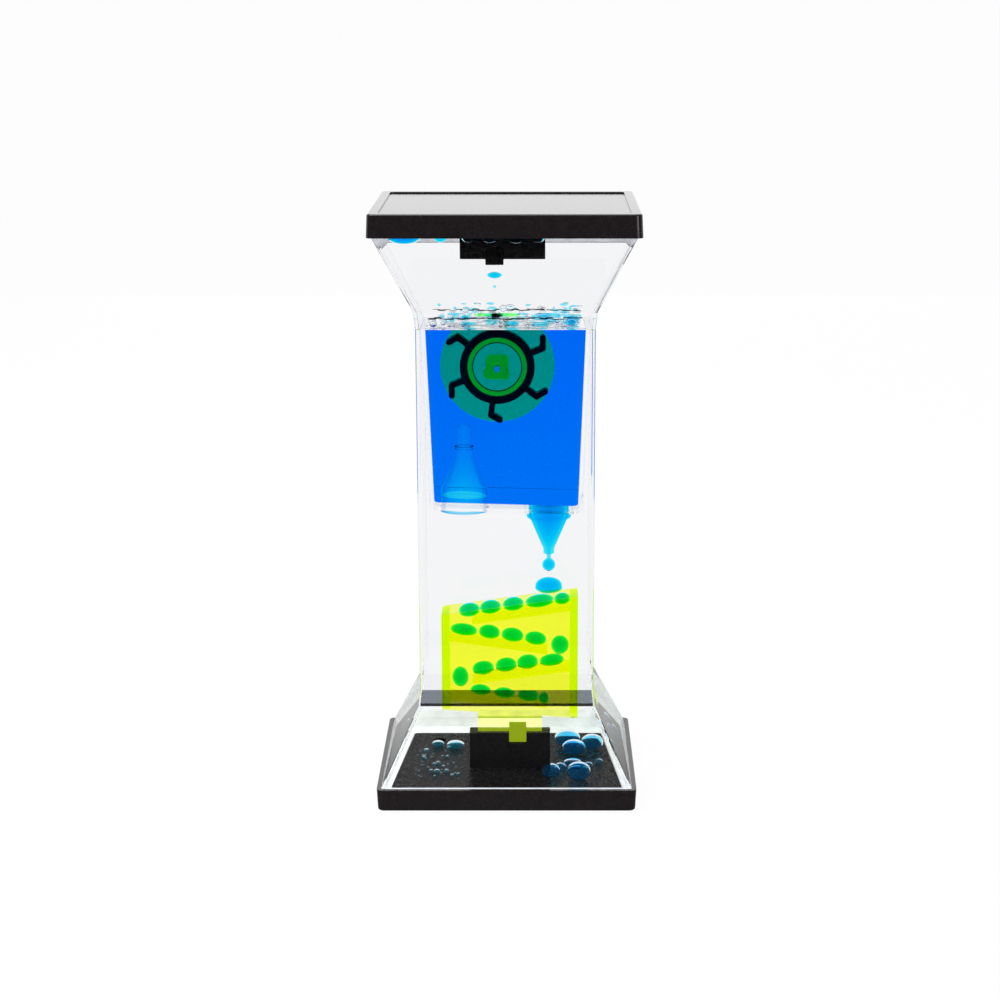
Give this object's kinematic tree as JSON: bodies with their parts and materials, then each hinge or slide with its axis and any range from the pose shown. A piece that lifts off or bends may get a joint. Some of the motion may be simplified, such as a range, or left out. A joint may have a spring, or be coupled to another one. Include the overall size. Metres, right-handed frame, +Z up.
{
  "type": "liquid motion timer",
  "caption": "Sealed clear hourglass case with black end caps, in which dyed water drips onto a zig-zag slide and rising oil turns a paddle wheel.",
  "frame": {"origin": "middle of the footprint, on the surface that the base cap stands on", "axes": "+Z up along the case, +X across the front to the right, +Y from the front to the back"},
  "size_m": [0.065, 0.0524, 0.149],
  "materials": {
    "black_plastic": "moulded, satin gloss",
    "clear_plastic": "clear, polished",
    "wheel_green": "translucent, polished",
    "slide_yellow": "fluorescent, transparent",
    "axle_steel": "ground",
    "plug_rubber": "matt",
    "dyed_water": "clear dyed liquid",
    "clear_oil": "clear liquid"
  },
  "bodies": {
    "case": {"base_cap": "black_plastic", "top_cap": "black_plastic", "lower_case": "clear_plastic", "upper_case": "clear_plastic", "fill_plug": "plug_rubber", "base_socket": "black_plastic", "top_socket": "black_plastic", "slide_funnel": "clear_plastic", "wheel_funnel": "clear_plastic", "front_bearing": "clear_plastic", "back_bearing": "clear_plastic", "slide_tray": "slide_yellow", "slide_front": "slide_yellow", "blue_water": "dyed_water", "oil_stream": "clear_oil", "hanging_drop": "dyed_water", "landing_drop": "dyed_water", "slide_drops": "dyed_water", "floor_drops": "dyed_water", "floor_beads": "dyed_water", "ceiling_drops": "dyed_water", "surface_beads": "clear_oil"},
    "wheel": {"water_wheel": "wheel_green", "paddle_ring": "black_plastic", "wheel_axle": "axle_steel"}
  },
  "joints": [
    {"name": "wheel_spin", "type": "hinge", "parent": "case", "child": "wheel", "pos_m": [-0.0022, 0, 0.1092], "axis": [0, 1, 0], "continuous": true}
  ]
}
